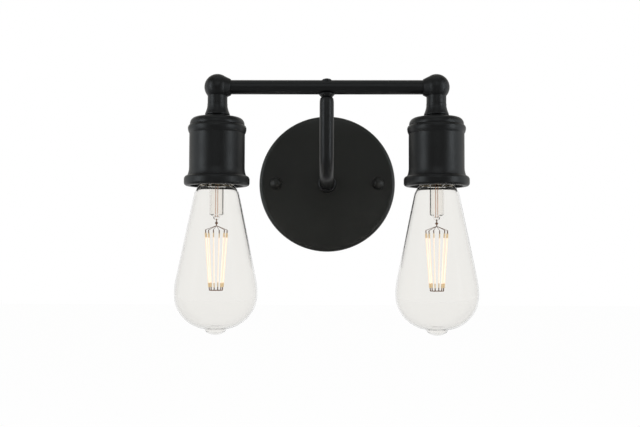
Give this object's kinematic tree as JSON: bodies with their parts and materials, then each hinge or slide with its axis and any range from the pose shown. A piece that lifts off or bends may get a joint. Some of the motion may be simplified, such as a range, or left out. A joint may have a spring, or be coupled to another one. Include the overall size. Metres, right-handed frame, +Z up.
{
  "type": "wall sconce",
  "caption": "Wall sconce in black metal: a round backplate, a bent arm and a crossbar with hanging lamp cups and clear pear-shaped filament bulbs.",
  "frame": {"origin": "on the wall plane, behind the centre of the round backplate", "axes": "+X to the right along the crossbar as seen from the room, +Y into the wall, +Z up"},
  "size_m": [0.2338, 0.1469, 0.202],
  "materials": {
    "black_paint": "satin",
    "plated_steel": "satin",
    "brass": "satin",
    "green_screw": "satin",
    "copper_wire": "satin",
    "porcelain": "gloss",
    "nickel_shell": "satin",
    "black_glass": "gloss",
    "solder": "satin",
    "clear_glass": "gloss",
    "stem_glass": "gloss",
    "phosphor": "matt, lit",
    "support_wire": "satin",
    "circuit": "matt",
    "black_insulation": "matt",
    "white_insulation": "matt",
    "connector_plastic": "matt"
  },
  "bodies": {
    "fixture": {"backplate": "black_paint", "mounting_strap": "plated_steel", "mounting_studs": "plated_steel", "stud_lock_nuts": "plated_steel", "cap_nuts": "black_paint", "ground_screw": "green_screw", "arm_tube": "black_paint", "arm_collar": "black_paint", "ground_terminal": "brass", "arm_lock_washer": "plated_steel", "arm_nut": "brass", "hub_saddle": "black_paint", "crossbar_tube": "black_paint", "crossbar_plug": "black_paint", "wire_connectors": "connector_plastic", "ground_lead": "copper_wire", "end_ball_left": "black_paint", "nipple_left": "plated_steel", "neck_flare_left": "black_paint", "cup_lid_left": "black_paint", "cup_body_left": "black_paint", "cup_nut_left": "plated_steel", "lampholder_body_left": "porcelain", "lampholder_block_left": "porcelain", "lampholder_cap_left": "plated_steel", "terminal_screws_left": "brass", "lampholder_shell_left": "brass", "lampholder_contact_left": "brass", "lead_black_left": "black_insulation", "lead_white_left": "white_insulation", "end_ball_right": "black_paint", "nipple_right": "plated_steel", "neck_flare_right": "black_paint", "cup_lid_right": "black_paint", "cup_body_right": "black_paint", "cup_nut_right": "plated_steel", "lampholder_body_right": "porcelain", "lampholder_block_right": "porcelain", "lampholder_cap_right": "plated_steel", "terminal_screws_right": "brass", "lampholder_shell_right": "brass", "lampholder_contact_right": "brass", "lead_black_right": "black_insulation", "lead_white_right": "white_insulation"},
    "bulb_travel_left": {"bulb_insulator_left": "black_glass", "bulb_contact_left": "solder"},
    "bulb_left": {"bulb_base_left": "nickel_shell", "bulb_glass_left": "clear_glass", "bulb_stem_left": "stem_glass", "bulb_filaments_left": "phosphor", "bulb_supports_left": "support_wire", "bulb_driver_left": "circuit"},
    "bulb_travel_right": {"bulb_insulator_right": "black_glass", "bulb_contact_right": "solder"},
    "bulb_right": {"bulb_base_right": "nickel_shell", "bulb_glass_right": "clear_glass", "bulb_stem_right": "stem_glass", "bulb_filaments_right": "phosphor", "bulb_supports_right": "support_wire", "bulb_driver_right": "circuit"}
  },
  "joints": [
    {"name": "bulb_travel_left", "type": "slide", "parent": "fixture", "child": "bulb_travel_left", "axis": [0, 0, -1], "range_m": [0, 0.0091]},
    {"name": "bulb_turn_left", "type": "hinge", "parent": "bulb_travel_left", "child": "bulb_left", "pos_m": [-0.085, -0.115, -0.0087], "axis": [0, 0, -1], "range_deg": [0, 900]},
    {"name": "bulb_travel_right", "type": "slide", "parent": "fixture", "child": "bulb_travel_right", "axis": [0, 0, -1], "range_m": [0, 0.0091]},
    {"name": "bulb_turn_right", "type": "hinge", "parent": "bulb_travel_right", "child": "bulb_right", "pos_m": [0.085, -0.115, -0.0087], "axis": [0, 0, -1], "range_deg": [0, 900]}
  ],
  "couplings": [
    {"joint": "bulb_travel_left", "follows": "bulb_turn_left", "m_per_rad": 0.00057757},
    {"joint": "bulb_travel_right", "follows": "bulb_turn_right", "m_per_rad": 0.00057757}
  ]
}
